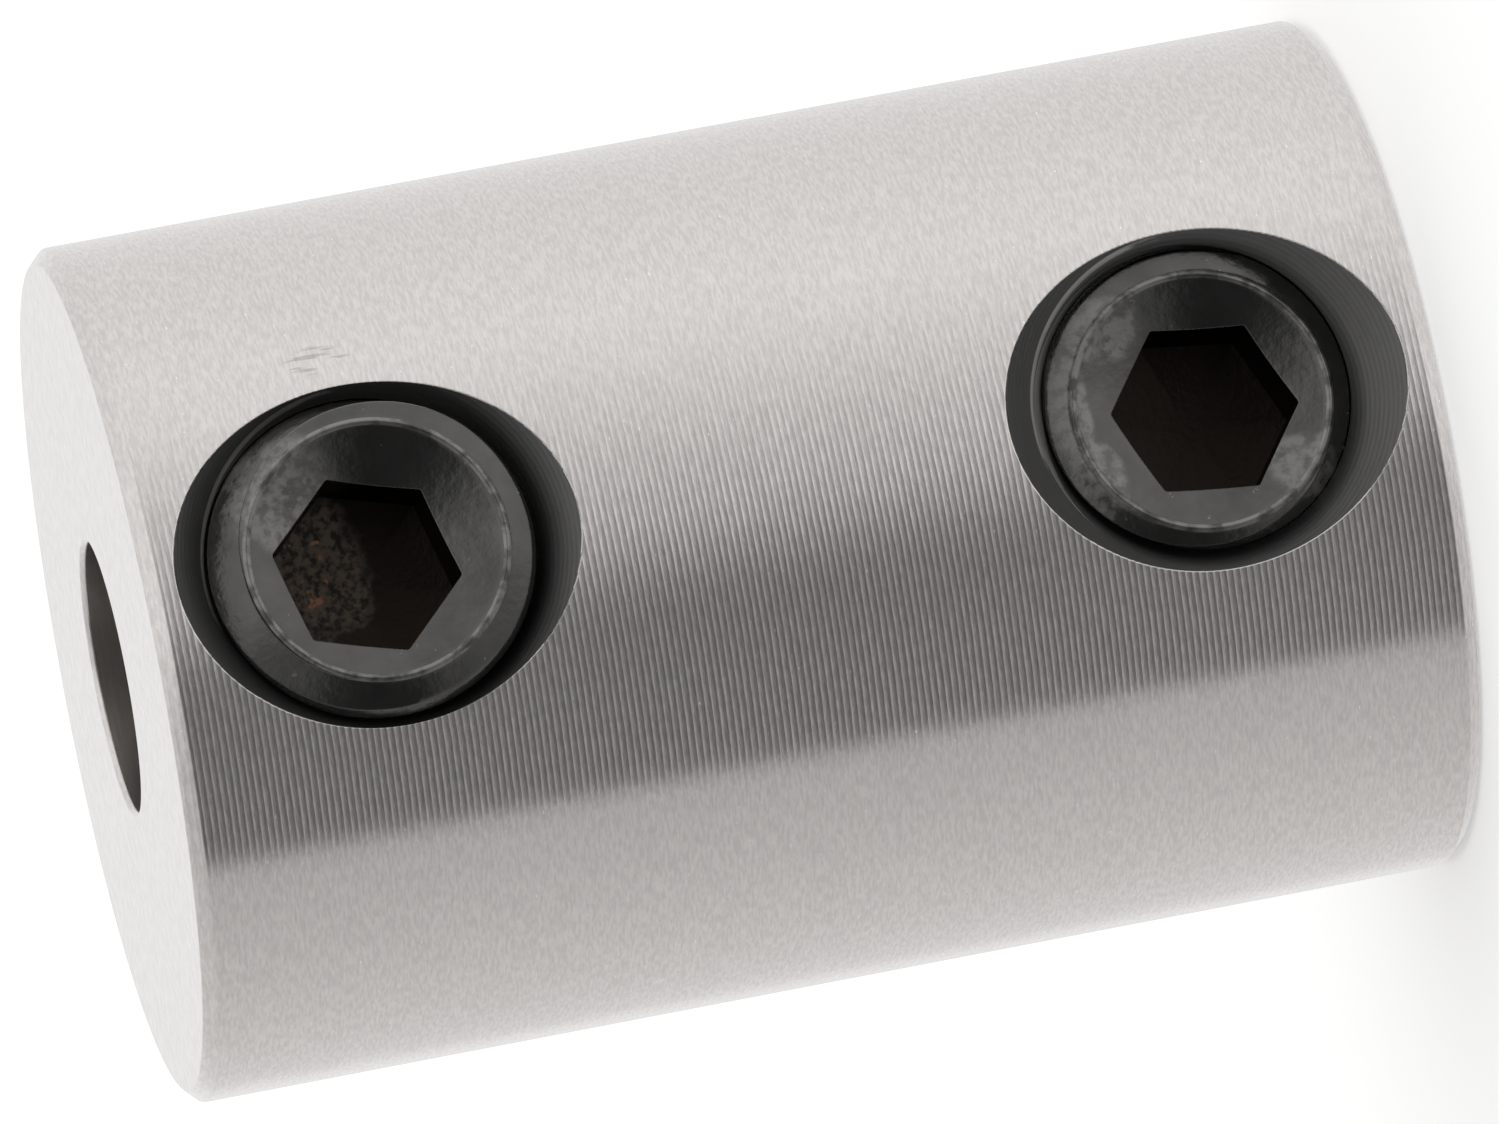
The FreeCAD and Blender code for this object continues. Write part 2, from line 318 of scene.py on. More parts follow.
def cut(item, tool, operation="DIFFERENCE"):
    """Cuts one closed mesh with another, merges doubles in the result and drops the tool."""
    step = item.modifiers.new("cut", "BOOLEAN")
    step.operation = operation
    step.solver = "EXACT"
    step.object = tool
    step.material_mode = "TRANSFER"
    shaped = item.evaluated_get(bpy.context.evaluated_depsgraph_get())
    mesh = bpy.data.meshes.new_from_object(shaped)
    build = bmesh.new()
    build.from_mesh(mesh)
    bmesh.ops.remove_doubles(build, verts=build.verts, dist=SAME_POINT)
    bmesh.ops.dissolve_degenerate(build, edges=build.edges, dist=SAME_POINT)
    build.to_mesh(mesh)
    build.free()
    item.modifiers.clear()
    item.data = mesh
    bpy.data.objects.remove(tool)


def hole_frame(screw):
    """The frame of a screw's hole: its origin on the sleeve's axis, Z out of the hole."""
    low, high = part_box(screw)
    middle = (low.z + high.z) / 2
    return Matrix.Translation((0, 0, middle)) @ Matrix.Rotation(math.pi / 2, 4, "X")


def use_material(item, material):
    item.data.materials.clear()
    item.data.materials.append(material)


def shade(item, angle):
    """Smooth faces with sharp edges wherever two faces meet at more than an angle."""
    item.data.shade_smooth()
    item.data.set_sharp_from_angle(angle=angle)


def round_normal(point, way):
    """The normal of an upright cylinder at a point, pointing out (1) or in (-1)."""
    return Vector((point.x, point.y, 0)).normalized() * way


def cone_normal(point, sizes, inward):
    """The normal of a countersink at a point in a hole's frame, or nothing away from it."""
    across = point.xy.length
    wall = sizes.countersink_radius - (sizes.radius - point.z) * math.tan(inward)
    if point.z < 0 or abs(across - wall) > ON_SURFACE:
        return None
    way = point.xy / across * math.cos(inward)
    return Vector((-way.x, -way.y, math.sin(inward)))


def true_normals(item, sizes):
    """Gives the sleeve's turned surfaces and countersinks the exact normals of their shapes."""
    mesh = item.data
    normals = [Vector((0, 0, 0))] * len(mesh.loops)
    frames = [hole_frame(screw) for screw in SCREW_BODIES]
    for face in mesh.polygons:
        corners = [(loop, mesh.vertices[mesh.loops[loop].vertex_index].co)
                   for loop in face.loop_indices]
        across = face.center.xy.length
        level, upright = abs(face.normal.z) > 0.999, abs(face.normal.z) < 0.001
        if level:
            for loop in face.loop_indices:
                normals[loop] = face.normal.copy()
        elif upright and abs(across - sizes.radius) < ON_SURFACE:
            for loop, point in corners:
                normals[loop] = round_normal(point, 1)
        elif upright and abs(across - sizes.bore_radius) < ON_SURFACE:
            for loop, point in corners:
                normals[loop] = round_normal(point, -1)
        for frame_of_hole in frames:
            local = frame_of_hole.inverted()
            found = [cone_normal(local @ point, sizes, sizes.countersink_angle / 2)
                     for loop, point in corners]
            if all(found):
                for (loop, point), normal in zip(corners, found):
                    normals[loop] = frame_of_hole.to_3x3() @ normal
    mesh.normals_split_custom_set(normals)


def break_rims(item, sizes):
    """Rounds the rim of each countersink, and gives the rounding the turned outside's finish."""
    build = bmesh.new()
    build.from_mesh(item.data)
    rims = [
        edge for edge in build.edges
        if len(edge.link_faces) == 2
        and edge.link_faces[0].material_index != edge.link_faces[1].material_index
        and min(point.co.xy.length for point in edge.verts) > sizes.radius - sizes.edge_break
    ]
    made = bmesh.ops.bevel(
        build, geom=rims, offset=sizes.mouth_break, affect="EDGES", segments=2, profile=0.5,
        material=-1,
    )
    for face in made["faces"]:
        face.material_index = 0
    build.to_mesh(item.data)
    build.free()


def node(tree, kind, *values, inputs=None, **settings):
    """Adds a shader node with its settings and links.

    The values fill its inputs in the order in which the node shows them, and other inputs go by
    name. A value may be something to link from: a socket, or a node for its first output.
    """
    item = tree.nodes.new("ShaderNode" + kind)
    for name, value in settings.items():
        setattr(item, name, value)
    filled = list(zip([socket for socket in item.inputs if socket.enabled], values))
    filled += [(item.inputs[name], value) for name, value in (inputs or {}).items()]
    for socket, value in filled:
        if isinstance(value, bpy.types.Node):
            value = next(output for output in value.outputs if output.enabled)
        if isinstance(value, bpy.types.NodeSocket):
            tree.links.new(value, socket)
        else:
            socket.default_value = value
    return item


def new_material(name):
    material = bpy.data.materials.new(name)
    material.use_nodes = True
    material.node_tree.nodes.clear()
    return material, material.node_tree


def opaque(colour, factor=1):
    """A colour for a node, made lighter or darker by a factor."""
    return (*[min(1, value * factor) for value in colour], 1)


def finish_material(material, tree, inputs):
    """Ends a metal's nodes with its shader."""
    shader = node(tree, "BsdfPrincipled", inputs={"Metallic": 1, **inputs})
    node(tree, "OutputMaterial", shader)
    return material


def grain(tree, place, to_a_mm, detail=3):
    """A noise with so many grains to a millimetre along each axis."""
    scale = [grains / MM for grains in to_a_mm]
    stretched = node(tree, "Mapping", inputs={"Vector": place, "Scale": scale})
    return node(tree, "TexNoise", inputs={
        "Vector": stretched, "Scale": 1, "Detail": detail, "Roughness": 0.6,
    })


def spot(tree, place, patch, uneven):
    """One inside an ellipsoid with a ragged edge, and nothing outside it."""
    centre, size = patch
    moved = node(tree, "VectorMath", place, centre, operation="SUBTRACT")
    scaled = node(tree, "VectorMath", moved, size, operation="DIVIDE")
    away = node(tree, "VectorMath", scaled, operation="LENGTH")
    ragged = node(tree, "Math", uneven, 0.9, away, operation="MULTIPLY_ADD")
    return node(tree, "MapRange", ragged, 1.6, 1.25, interpolation_type="SMOOTHSTEP")


def lathe_cut_stainless(name, sizes, colours, roughness, spread):
    """Stainless steel cut on a lathe.

    The tool leaves even rings, with finer scratches along them. On the outside they spread
    what the metal mirrors along the sleeve but hardly round it. So fine light and dark lines
    fill the dark band, which still ends sharply, and elsewhere the metal is an even satin
    grey. The faced ends are smoother, so they mirror the white tent evenly.
    """
    material, tree = new_material(name)
    place = node(tree, "TexCoord").outputs["Object"]
    up = node(tree, "SeparateXYZ", place).outputs["Z"]
    streaks = grain(tree, place, (5, 5, 25))
    patches = grain(tree, place, (0.9, 0.9, 2.5), 2)
    glints = grain(tree, place, (9, 9, 28), 1)
    marks = grain(tree, place, (12, 3, 1.5), 2)

    sway = node(tree, "Math", patches, 0.2, -0.1, operation="MULTIPLY_ADD")
    rings = node(tree, "Math", up, 1 / sizes.feed_pitch, sway, operation="MULTIPLY_ADD")
    part = node(tree, "Math", rings, operation="FRACT")
    off_middle = node(tree, "Math", part, 0.5, operation="SUBTRACT")
    squared = node(tree, "Math", off_middle, off_middle, operation="MULTIPLY")
    scallop = node(tree, "Math", squared, 4, operation="MULTIPLY")
    height = node(tree, "Math", streaks, 0.5, scallop, operation="MULTIPLY_ADD")

    light = node(tree, "MapRange", streaks, 0.3, 0.7, interpolation_type="SMOOTHSTEP")
    tint = node(
        tree, "Mix", light, opaque(colours.stainless, 0.9), opaque(colours.stainless, 1.09),
        data_type="RGBA",
    )
    marked = node(tree, "MapRange", marks, 0.5, 0.6, 0, 0.4, interpolation_type="SMOOTHSTEP")
    within = spot(tree, place, SCRATCHES, patches)
    scratched = node(tree, "Math", marked, within, operation="MULTIPLY")
    tint = node(tree, "Mix", scratched, tint, opaque(colours.cut_stainless), data_type="RGBA")
    # Painted glints: where the noise peaks, the base colour turns almost white, standing in for
    # sparkling highlights.
    bright = node(tree, "MapRange", glints, 0.74, 0.84, interpolation_type="SMOOTHSTEP")
    tint = node(tree, "Mix", bright, tint, opaque(colours.glint), data_type="RGBA")
    return finish_material(material, tree, {
        "Base Color": tint,
        "Roughness": roughness,
        "Anisotropic": spread,
        "Anisotropic Rotation": 0.25,
        "Tangent": node(tree, "Tangent", direction_type="RADIAL", axis="Z"),
        "Normal": node(tree, "Bump", inputs={"Height": height, "Distance": sizes.feed_height}),
    })


def reamed_stainless(colours):
    """Stainless steel inside the shaft bore, reamed along its length.

    It is duller and warmer than the outside because it mirrors its own dark walls.
    """
    material, tree = new_material("reamed_stainless")
    place = node(tree, "TexCoord").outputs["Object"]
    scratches = grain(tree, place, (3, 3, 12))
    tint = node(
        tree, "Mix", scratches, opaque(colours.bore_stainless, 0.8),
        opaque(colours.bore_stainless), data_type="RGBA",
    )
    return finish_material(material, tree, {
        "Base Color": tint,
        "Roughness": 0.3,
        "Normal": node(tree, "Bump", inputs={"Height": scratches, "Distance": 1.5 * MICRON}),
    })


def painted_burr_highlight(tree, place, uneven, screw, radius):
    """One on the painted highlight line round the lit part of a screw's hole, at a radius, and
    nothing elsewhere.
    """
    middle = hole_frame(screw).translation
    local = node(tree, "VectorMath", place, middle, operation="SUBTRACT")
    level = node(tree, "VectorMath", local, (1, 0, 1), operation="MULTIPLY")
    across = node(tree, "VectorMath", level, operation="LENGTH")
    beyond = node(tree, "Math", across, radius, operation="SUBTRACT")
    off = node(tree, "Math", beyond, operation="ABSOLUTE")
    line = node(tree, "MapRange", off, *BURR_HIGHLIGHT_WIDTHS, interpolation_type="SMOOTHSTEP")
    offset, size = BURR_HIGHLIGHT_PART
    part = spot(tree, place, (middle + Vector(offset), size), uneven)
    return node(tree, "Math", line, part, operation="MULTIPLY")


def drilled_stainless(sizes, thread, colours):
    """Stainless steel cut by a drill, a tap and a countersink.

    It is dull, and its colour is darker than the turned outside's. The countersink leaves fine
    rings round each hole.
    Where the thread starts, a thin light line is a painted highlight along a small burr, on the
    side of each hole where light falls.
    """
    material, tree = new_material("drilled_stainless")
    place = node(tree, "TexCoord").outputs["Object"]
    depth = node(tree, "SeparateXYZ", place).outputs["Y"]
    torn = grain(tree, place, (2.5, 16, 2.5))
    turned = node(tree, "Math", depth, FULL_TURN / sizes.ring_pitch, operation="MULTIPLY")
    rings = node(tree, "Math", turned, operation="SINE")
    height = node(tree, "Math", rings, 0.3, torn, operation="MULTIPLY_ADD")
    tint = node(
        tree, "Mix", torn, opaque(colours.cut_stainless, 0.8), opaque(colours.cut_stainless),
        data_type="RGBA",
    )
    # Painted highlight: a thin line of the outside's light colour round the lit side of each hole.
    for screw in SCREW_BODIES:
        line = painted_burr_highlight(tree, place, torn, screw, thread.tapped_root + BURR_HIGHLIGHT_OFFSET)
        tint = node(tree, "Mix", line, tint, opaque(colours.stainless), data_type="RGBA")
    edge = node(tree, "Bevel", SOFT_EDGE, samples=6)
    return finish_material(material, tree, {
        "Base Color": tint,
        "Roughness": 0.5,
        "Normal": node(tree, "Bump", inputs={
            "Height": height, "Distance": 1.5 * MICRON, "Normal": edge,
        }),
    })


def black_oxide(colours, worn):
    """Heat-treated steel with a black oxide finish.

    It is nearly black with a soft sheen. Where it is worn, and along its edges, thinner oxide
    lets the steel show as a lighter, mottled grey.
    """
    material, tree = new_material("black_oxide")
    place = node(tree, "TexCoord").outputs["Object"]
    fine = grain(tree, place, (9, 9, 9), 4)
    dents = grain(tree, place, (3, 3, 3), 3)
    clouds = grain(tree, place, (1.4, 1.4, 1.4), 4)
    chips = grain(tree, place, (5.2, 5.2, 5.2), 3)
    blots = grain(tree, place, (4.2, 4.2, 4.2), 5)
    mottle = node(tree, "MapRange", blots, 0.4, 0.6, 0.15, 0.8, interpolation_type="SMOOTHSTEP")
    chipped = node(tree, "MapRange", chips, 0.7, 0.74, 0, 0.8, interpolation_type="SMOOTHSTEP")
    edge = node(tree, "Bevel", SOFT_EDGE, samples=6)
    surface = node(tree, "NewGeometry").outputs["Normal"]
    turned = node(tree, "VectorMath", edge, surface, operation="DOT_PRODUCT")
    bare = node(tree, "MapRange", turned, 0.97, 0.86, interpolation_type="SMOOTHSTEP")
    rubbed = node(tree, "Math", chipped, bare, operation="MAXIMUM")
    for patch in worn:
        within = spot(tree, place, patch, clouds)
        thin = node(tree, "Math", within, mottle, operation="MULTIPLY")
        rubbed = node(tree, "Math", rubbed, thin, operation="MAXIMUM")
    tint = node(
        tree, "Mix", clouds, opaque(colours.black_oxide, 0.6), opaque(colours.black_oxide, 1.35),
        data_type="RGBA",
    )
    tint = node(tree, "Mix", rubbed, tint, opaque(colours.rubbed_oxide_and_highlight), data_type="RGBA")
    gloss = node(tree, "MapRange", rubbed, 0, 1, 0.26, 0.42, interpolation_type="SMOOTHSTEP")
    dented = node(tree, "Bump", inputs={
        "Height": dents, "Distance": 14 * MICRON, "Normal": edge,
    })
    return finish_material(material, tree, {
        "Base Color": tint,
        "Roughness": gloss,
        "Normal": node(tree, "Bump", inputs={
            "Height": fine, "Distance": 2 * MICRON, "Normal": dented,
        }),
    })


def rubbed_oxide_and_highlight(colours):
    """The raised ring round the socket, lighter all round: a painted highlight, mottled like oxide
    rubbed thin.
    """
    material, tree = new_material("rubbed_oxide_and_highlight")
    place = node(tree, "TexCoord").outputs["Object"]
    clouds = grain(tree, place, (3.5, 3.5, 3.5), 4)
    thin = node(tree, "MapRange", clouds, 0.35, 0.6, interpolation_type="SMOOTHSTEP")
    tint = node(
        tree, "Mix", thin, opaque(colours.black_oxide), opaque(colours.rubbed_oxide_and_highlight),
        data_type="RGBA",
    )
    return finish_material(material, tree, {
        "Base Color": tint,
        "Roughness": 0.42,
        "Normal": node(tree, "Bump", inputs={"Height": clouds, "Distance": 3 * MICRON}),
    })


def socket_oxide_painted_shade(colours, deposit):
    """The broached socket: black oxide coloured far darker than the screw's outside, painted shade
    in the recess, with a patch of dried, rusty residue in one of them.

    The residue is rough and scatters light, so it shows where the bare oxide stays black.
    """
    material, tree = new_material("socket_oxide_painted_shade")
    place = node(tree, "TexCoord").outputs["Object"]
    coarse = grain(tree, place, (8, 8, 8), 4)
    clouds = grain(tree, place, (1.5, 1.5, 1.5), 3)
    specks = grain(tree, place, (4.2, 4.2, 4.2), 2)
    # Painted shade: this dark colour stands in for the shade inside the socket.
    painted_shade_black = opaque(colours.socket_oxide_painted_shade)
    covered = spot(tree, place, deposit, clouds)
    caked = node(tree, "MapRange", coarse, 0.38, 0.6, interpolation_type="SMOOTHSTEP")
    rusty = node(tree, "MapRange", specks, 0.64, 0.72, interpolation_type="SMOOTHSTEP")
    crust = node(tree, "Mix", caked, painted_shade_black, opaque(colours.deposit), data_type="RGBA")
    crust = node(tree, "Mix", rusty, crust, opaque(colours.rust), data_type="RGBA")
    dull = node(tree, "MapRange", covered, 0, 1, 0.4, 0.9, interpolation_type="SMOOTHSTEP")
    return finish_material(material, tree, {
        "Base Color": node(tree, "Mix", covered, painted_shade_black, crust, data_type="RGBA"),
        "Metallic": node(tree, "Math", 1, covered, operation="SUBTRACT"),
        "Roughness": dull,
        "Normal": node(tree, "Bump", inputs={"Height": coarse, "Distance": 14 * MICRON}),
    })


class COUPLING_OT_sleeve(bpy.types.Operator):
    """Turn the sleeve and cut its two countersunk, tapped holes"""

    bl_idname = "coupling.sleeve"
    bl_label = "Sleeve"

    steps = 288
    tool_steps = 120
    tool_height = 1 * MM
    tap_overlap = 0.02 * MM
    faced_slope = math.radians(25)
    sharp_angle = math.radians(24)

    def turn_sleeve(self, sizes):
        """The turned blank, with its bore, its chamfers and its edge breaks."""
        radius, length = sizes.radius, sizes.length
        chamfer, bore, mouth = sizes.end_chamfer, sizes.bore_radius, sizes.bore_chamfer
        middle = length / 2
        outline = [
            (bore, middle),
            (bore, length - mouth),
            (bore + mouth, length),
            (radius - chamfer, length),
            (radius, length - chamfer),
            (radius, chamfer),
            (radius - chamfer, 0),
            (bore + mouth, 0),
            (bore, mouth),
            (bore, middle),
        ]
        outline = rounded(outline, sizes.edge_break, range(1, len(outline) - 1))
        build = bmesh.new()
        lathe(build, outline[:-1], self.steps, closed=True)
        return new_object("coupling_sleeve", build)

    def make_tools(self, sizes, thread):
        """The tap, then the drill and the countersink, in a hole's own frame."""
        above = self.tool_height
        build = bmesh.new()
        threaded_rod(
            build, thread, thread.tapped_crest - self.tap_overlap, thread.tapped_root,
            thread.pitch_radius + thread.clearance, thread.hole_end + self.tap_overlap,
            sizes.radius + above, self.tool_steps,
        )
        tap = new_object("tap", build)

        slope = math.tan(sizes.countersink_angle / 2)
        point = thread.tapped_crest / math.tan(thread.drill_angle / 2)
        flare = (sizes.countersink_radius - thread.tapped_crest) / slope
        build = bmesh.new()
        lathe(build, [
            (0, thread.hole_end - point),
            (thread.tapped_crest, thread.hole_end),
            (thread.tapped_crest, sizes.radius - flare),
            (sizes.countersink_radius + above * slope, sizes.radius + above),
            (0, sizes.radius + above),
        ], self.tool_steps)
        drill = new_object("drill_and_countersink", build)
        return tap, drill

    def finish_faces(self, sleeve, sizes, materials):
        """Gives the wall of the bore and the faced ends their own finishes."""
        for material in materials:
            sleeve.data.materials.append(material)
        for face in sleeve.data.polygons:
            if face.center.xy.length < sizes.bore_radius:
                face.material_index = 1
            elif abs(face.normal.z) > math.cos(self.faced_slope):
                face.material_index = 2

    def execute(self, context):
        settings = context.scene.coupling
        sizes, thread, finishes = settings.sleeve, settings.thread, settings.finishes
        sleeve = self.turn_sleeve(sizes)
        turned = lathe_cut_stainless(
            "turned_stainless", sizes, finishes, roughness=0.25, spread=0.9
        )
        faced = lathe_cut_stainless("faced_stainless", sizes, finishes, roughness=0.12, spread=0)
        use_material(sleeve, turned)
        self.finish_faces(sleeve, sizes, (reamed_stainless(finishes), faced))
        cut_steel = drilled_stainless(sizes, thread, finishes)
        for screw in SCREW_BODIES:
            for tool in self.make_tools(sizes, thread):
                use_material(tool, cut_steel)
                tool.data.transform(hole_frame(screw))
                cut(sleeve, tool)
        break_rims(sleeve, sizes)
        shade(sleeve, self.sharp_angle)
        true_normals(sleeve, sizes)
        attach(sleeve, SLEEVE_BODY)
        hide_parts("sleeve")
        return {"FINISHED"}


class COUPLING_OT_set_screws(bpy.types.Operator):
    """Make the two set screws, threaded, dished and socketed, in their holes"""

    bl_idname = "coupling.set_screws"
    bl_label = "Set Screws"

    steps = 120
    rod_overlap = 1 * MM
    punch_height = 0.5 * MM
    # Part of the bead's half width that gets the painted highlight.
    highlight_share = 0.75
    sharp_angle = math.radians(28)

    def blank_outline(self, sizes):
        """The screw before its socket: cup, point, thread, crown, raised ring and dish."""
        slope = math.tan(sizes.cup_slope)
        start = sizes.radius - sizes.start_width
        ring = start - sizes.crown_width
        crown_end = sizes.length - sizes.crown_width * math.tan(sizes.crown_slope)
        bead, drop = sizes.bead_width, sizes.bead_height
        outside = sizes.length - bead * math.tan(sizes.crown_slope) - drop
        inside = sizes.length - bead * math.tan(sizes.dish_slope) - drop
        outline = [
            (0, sizes.cup_radius * slope),
            (sizes.cup_radius, 0),
            (sizes.radius, (sizes.radius - sizes.cup_radius) * slope),
            (sizes.radius, crown_end - sizes.start_width * math.tan(sizes.start_slope)),
            (start, crown_end),
            (ring + bead, outside),
            (ring, sizes.length),
            (ring - bead, inside),
            (0, inside - (ring - bead) * math.tan(sizes.dish_slope)),
        ]
        # Rounding adds points, so the later corners come first.
        bead_corners, shoulder, edges = (5, 6, 7), (4,), (1, 3)
        outline = rounded(outline, sizes.edge_break, bead_corners)
        outline = rounded(outline, sizes.crown_round, shoulder, segments=6)
        return rounded(outline, sizes.edge_break, edges)

    def paint_ring_highlight(self, blank, sizes, material):
        """Gives the raised ring its own, lighter finish: a painted highlight all round it."""
        blank.data.materials.append(material)
        ring = sizes.radius - sizes.start_width - sizes.crown_width
        for face in blank.data.polygons:
            near = abs(face.center.xy.length - ring) < sizes.bead_width * self.highlight_share
            if near and face.center.z > sizes.length / 2:
                face.material_index = 1

    def socket_tool(self, sizes, turn, shift):
        """A hexagonal punch with a conical end."""
        build = bmesh.new()
        corner = sizes.hex_width / 2 / math.cos(math.pi / 6)
        floor = sizes.length - sizes.socket_depth
        made = bmesh.ops.create_circle(build, cap_ends=True, segments=6, radius=corner)
        bmesh.ops.rotate(
            build, verts=build.verts, cent=(0, 0, 0),
            matrix=Matrix.Rotation(turn + math.pi / 6, 3, "Z"),
        )
        bmesh.ops.translate(build, verts=made["verts"], vec=(shift[0], shift[1], floor))
        raised = bmesh.ops.extrude_face_region(build, geom=build.faces[:])
        top = [item for item in raised["geom"] if isinstance(item, bmesh.types.BMVert)]
        bmesh.ops.translate(build, verts=top, vec=(0, 0, sizes.socket_depth + self.punch_height))
        upright = [
            edge for edge in build.edges
            if abs(edge.verts[0].co.z - edge.verts[1].co.z) > self.punch_height
        ]
        bmesh.ops.bevel(
            build, geom=upright, offset=sizes.edge_break, affect="EDGES", segments=3,
            profile=0.5, material=-1,
        )
        lowest = min(build.faces, key=lambda face: face.calc_center_median().z)
        poked = bmesh.ops.poke(build, faces=[lowest])
        poked["verts"][0].co.z -= sizes.socket_cone
        bmesh.ops.recalc_face_normals(build, faces=build.faces)
        return new_object("socket_punch", build)

    def make_screw(self, name, settings, turn, shift, materials):
        """One screw in its hole's frame, so that its thread and the hole's keep in step."""
        outside, ring, inside = materials
        sizes, thread = settings.screw, settings.thread
        tip = -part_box(name)[1].y
        build = bmesh.new()
        threaded_rod(
            build, thread, thread.root_radius, thread.crest_radius, thread.pitch_radius,
            tip - self.rod_overlap, tip + sizes.length + self.rod_overlap, self.steps,
        )
        screw = new_object("threaded_" + name, build)
        build = bmesh.new()
        lathe(build, self.blank_outline(sizes), self.steps)
        blank = new_object("screw_blank", build)
        punch = self.socket_tool(sizes, turn, shift)
        for item, material in ((screw, outside), (blank, outside), (punch, inside)):
            use_material(item, material)
        # The ring's lighter colour is a painted highlight.
        self.paint_ring_highlight(blank, sizes, ring)
        for item in (blank, punch):
            item.data.transform(Matrix.Translation((0, 0, tip)))
        cut(blank, punch)
        cut(screw, blank, "INTERSECT")
        screw.data.transform(hole_frame(name))
        return screw

    def execute(self, context):
        settings = context.scene.coupling
        screw = settings.screw
        materials = (
            black_oxide(settings.finishes, WORN),
            rubbed_oxide_and_highlight(settings.finishes),
            socket_oxide_painted_shade(settings.finishes, DEPOSIT),
        )
        sockets = {
            "set_screw_upper": (screw.upper_turn, screw.upper_shift),
            "set_screw_lower": (screw.lower_turn, screw.lower_shift),
        }
        for name, body in SCREW_BODIES.items():
            item = self.make_screw(name, settings, *sockets[name], materials)
            shade(item, self.sharp_angle)
            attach(item, body)
            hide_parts(name)
        return {"FINISHED"}


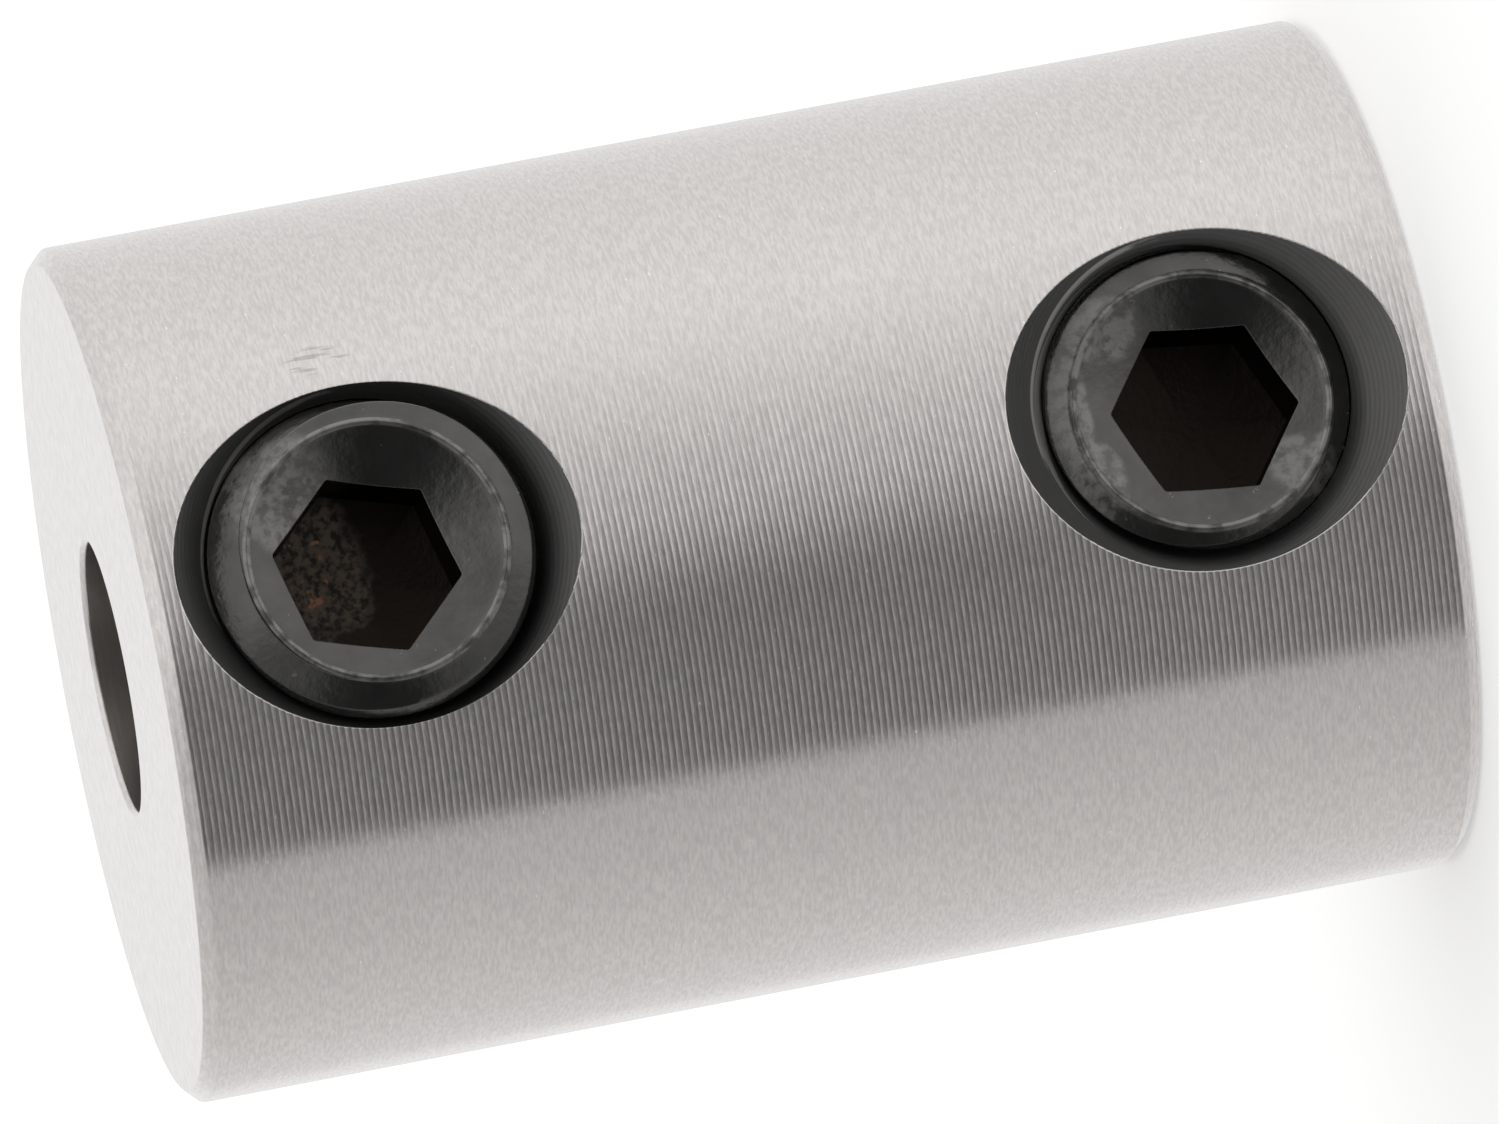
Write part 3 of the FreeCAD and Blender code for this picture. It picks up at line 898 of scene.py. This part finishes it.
class COUPLING_OT_stage(bpy.types.Operator):
    """Set up the pale floor, the light tent and the camera"""

    bl_idname = "coupling.stage"
    bl_label = "Stage"

    floor_radius = 0.6
    floor_glow = 0.3
    camera_distance = 254.25 * MM
    camera_lens = 415.5
    camera_azimuth = math.radians(-10.2)
    camera_elevation = math.radians(8.843)
    camera_roll = math.radians(-100.64)
    aim_right = 0.094 * MM
    aim_up = -0.044 * MM
    left_to_right = (-0.35, 0.12)
    sides_to_back = (0.93, 0.975)
    back_level = 0.97
    right_level = 1.05
    right_fall = -0.13
    left_level = 0.68
    left_rise = 0.22
    opening_level = 0.1
    opening_azimuths = (math.radians(-66), math.radians(25))
    opening_elevations = (math.radians(-16), math.radians(30))
    azimuth_softness = (math.radians(3), math.radians(46))
    elevation_softness = (math.radians(6), math.radians(8))

    def make_floor(self, colours):
        """A pale floor that keeps the shadow and turns white where the camera sees it lit."""
        build = bmesh.new()
        bmesh.ops.create_circle(build, cap_ends=True, segments=96, radius=self.floor_radius)
        floor = new_object("floor", build)
        material, tree = new_material("pale_floor")
        path = node(tree, "LightPath")
        pale = node(tree, "BsdfDiffuse", opaque(colours.floor))
        glow = node(tree, "Emission", WHITE, self.floor_glow)
        lit = node(tree, "AddShader", pale, glow)
        seen = node(tree, "MixShader", path.outputs["Is Camera Ray"], pale, lit)
        clear = node(tree, "BsdfTransparent")
        shown = node(tree, "MixShader", path.outputs["Is Glossy Ray"], seen, clear)
        node(tree, "OutputMaterial", shown)
        use_material(floor, material)

    def band(self, tree, value, edges, softness):
        """One inside a band of angles and nothing outside it, with an edge of its own each way."""
        rise, fall = [
            node(
                tree, "MapRange", value, edge - way * soft, edge + way * soft,
                interpolation_type="SMOOTHSTEP",
            )
            for edge, soft, way in zip(edges, softness, (1, -1))
        ]
        return node(tree, "Math", rise, fall, operation="MULTIPLY")

    def make_tent(self):
        """A world like a light tent: white to the camera, with a dark opening at the front."""
        world = bpy.data.worlds.new("light_tent")
        world.use_nodes = True
        tree = world.node_tree
        tree.nodes.clear()
        path = node(tree, "LightPath")
        way = node(tree, "TexCoord").outputs["Generated"]
        across, away, up = node(tree, "SeparateXYZ", way).outputs
        forward = node(tree, "Math", away, -1, operation="MULTIPLY")
        azimuth = node(tree, "Math", across, forward, operation="ARCTAN2")
        elevation = node(tree, "Math", up, operation="ARCSINE")
        opening = node(
            tree, "Math",
            self.band(tree, azimuth, self.opening_azimuths, self.azimuth_softness),
            self.band(tree, elevation, self.opening_elevations, self.elevation_softness),
            operation="MULTIPLY",
        )
        left = node(tree, "Math", away, self.left_rise, self.left_level, operation="MULTIPLY_ADD")
        right = node(
            tree, "Math", away, self.right_fall, self.right_level, operation="MULTIPLY_ADD"
        )
        rightward = node(
            tree, "MapRange", across, *self.left_to_right, interpolation_type="SMOOTHSTEP"
        )
        sides = node(tree, "Mix", rightward, left, right, data_type="FLOAT")
        backward = node(
            tree, "MapRange", away, *self.sides_to_back, interpolation_type="SMOOTHSTEP"
        )
        wall = node(tree, "Mix", backward, sides, self.back_level, data_type="FLOAT")
        strength = node(tree, "Mix", opening, wall, self.opening_level, data_type="FLOAT")
        tent = node(tree, "Background", WHITE, strength)
        white = node(tree, "Background", WHITE, 1)
        shown = node(tree, "MixShader", path.outputs["Is Camera Ray"], tent, white)
        node(tree, "OutputWorld", shown)
        bpy.context.scene.world = world

    def make_camera(self, sizes):
        """The photograph's view: the sleeve lies across the picture because the camera rolls."""
        lens = bpy.data.cameras.new("camera")
        lens.lens = self.camera_lens
        lens.sensor_width = 36
        lens.clip_start = 10 * MM
        lens.clip_end = 5
        camera = bpy.data.objects.new("camera", lens)
        bpy.context.scene.collection.objects.link(camera)
        turn = (
            Matrix.Rotation(self.camera_azimuth, 4, "Z")
            @ Matrix.Rotation(math.pi / 2 - self.camera_elevation, 4, "X")
            @ Matrix.Rotation(self.camera_roll, 4, "Z")
        )
        middle = Matrix.Translation((0, 0, sizes.length / 2))
        back = Matrix.Translation((self.aim_right, self.aim_up, self.camera_distance))
        camera.matrix_world = middle @ turn @ back
        bpy.context.scene.camera = camera

    def execute(self, context):
        settings = context.scene.coupling
        self.make_floor(settings.finishes)
        self.make_tent()
        self.make_camera(settings.sleeve)
        context.scene.view_settings.view_transform = "Standard"
        return {"FINISHED"}


class Coupling(bpy.types.PropertyGroup):
    """Everything that a user would change."""

    sleeve: PointerProperty(type=SleeveSizes)
    thread: PointerProperty(type=ThreadSizes)
    screw: PointerProperty(type=ScrewSizes)
    finishes: PointerProperty(type=Finishes)


class COUPLING_PT_panel(bpy.types.Panel):
    """Lists the sizes, the finishes and the build steps"""

    bl_label = "Shaft Coupling"
    bl_idname = "COUPLING_PT_panel"
    bl_space_type = "VIEW_3D"
    bl_region_type = "UI"
    bl_category = "Coupling"

    def draw(self, context):
        settings = context.scene.coupling
        for group in (settings.sleeve, settings.thread, settings.screw, settings.finishes):
            box = self.layout.box()
            for name in group.__annotations__:
                box.prop(group, name)
        for operator in OPERATORS:
            self.layout.operator(operator.bl_idname)


OPERATORS = (COUPLING_OT_sleeve, COUPLING_OT_set_screws, COUPLING_OT_stage)
CLASSES = (
    SleeveSizes, ThreadSizes, ScrewSizes, Finishes, Coupling, *OPERATORS, COUPLING_PT_panel,
)


def register():
    for item in CLASSES:
        bpy.utils.register_class(item)
    bpy.types.Scene.coupling = PointerProperty(type=Coupling)


def unregister():
    del bpy.types.Scene.coupling
    for item in reversed(CLASSES):
        bpy.utils.unregister_class(item)


def main():
    register()
    bpy.ops.coupling.sleeve()
    bpy.ops.coupling.set_screws()
    bpy.ops.coupling.stage()


if __name__ == "__main__":
    main()
